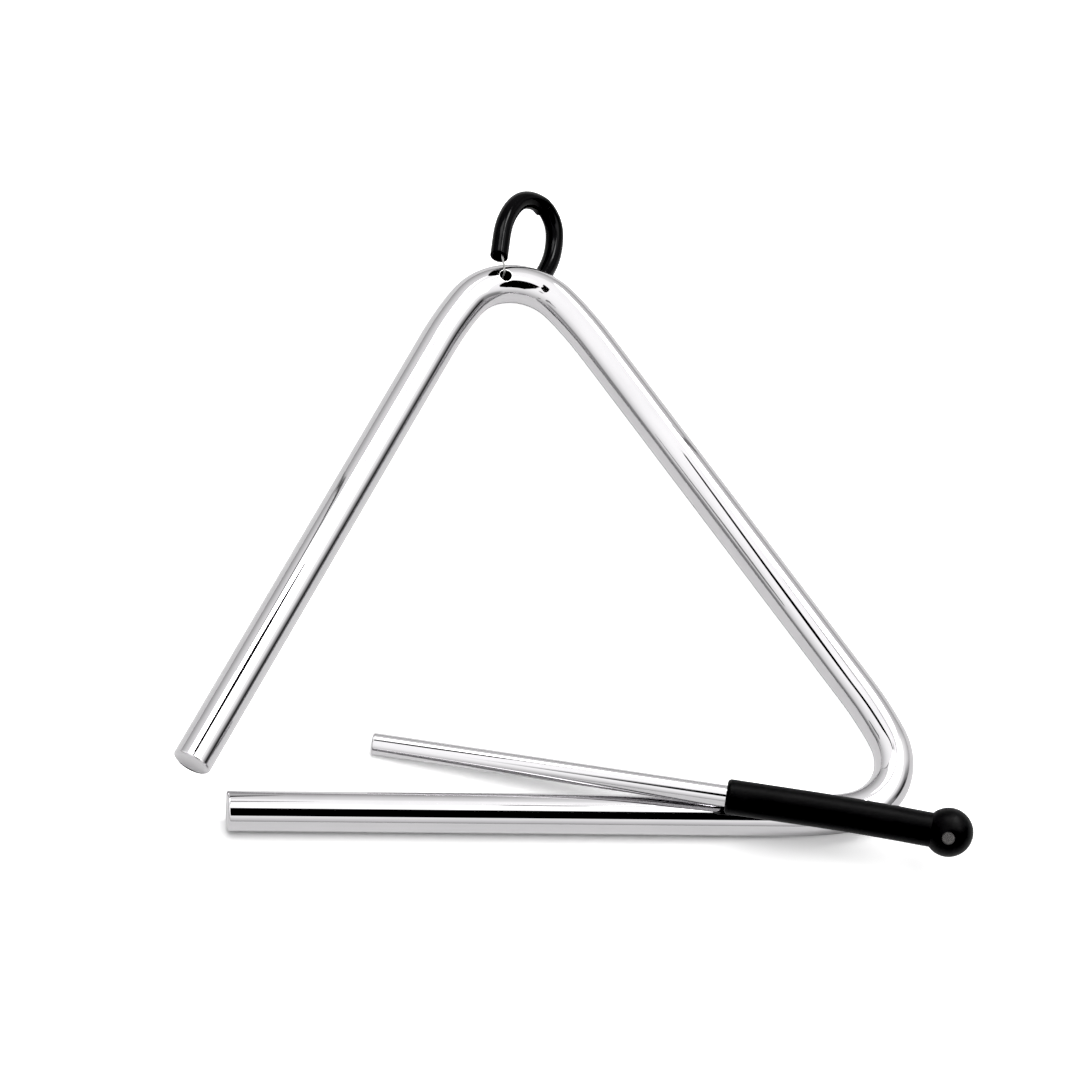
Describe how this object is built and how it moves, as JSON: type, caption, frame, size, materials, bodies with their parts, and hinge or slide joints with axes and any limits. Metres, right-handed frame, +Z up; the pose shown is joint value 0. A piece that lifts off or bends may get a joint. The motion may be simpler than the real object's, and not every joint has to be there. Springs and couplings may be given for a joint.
{
  "type": "triangle instrument",
  "caption": "Chromed rod bent into a triangle with one open corner, with a black tube hanger loop on a nylon line through its top bend and a ball-ended beater lying across it.",
  "frame": {"origin": "middle of the whole part's outline on the table it lies on: triangle, hanger and beater together", "axes": "+X along the lower bar from its free end to the closed corner, +Y from the lower bar towards the top bend, +Z up from the table"},
  "size_m": [0.2149, 0.221, 0.0307],
  "materials": {
    "chrome_bar": "polished chrome plating on steel rod",
    "black_tube": "glossy black vinyl tube",
    "clear_line": "clear nylon line, whitish on its edges",
    "chrome_stick": "polished chrome plating on steel rod",
    "black_grip": "satin black moulded plastic, with a rough round moulding mark on the ball"
  },
  "bodies": {
    "triangle": {"triangle_bar": "chrome_bar"},
    "hanger": {"hanger_tube": "black_tube", "hanger_line": "clear_line"},
    "beater": {"beater_rod": "chrome_stick", "beater_grip": "black_grip"}
  },
  "joints": [
    {"name": "hanger_swing", "type": "hinge", "parent": "triangle", "child": "hanger", "pos_m": [-0.00413, 0.0808, 0.00675], "axis": [0, 0, 1], "range_deg": [-2, 120]},
    {"name": "beater_lift", "type": "slide", "parent": "triangle", "child": "beater", "axis": [0, 0, 1], "range_m": [0, 0.1]}
  ]
}
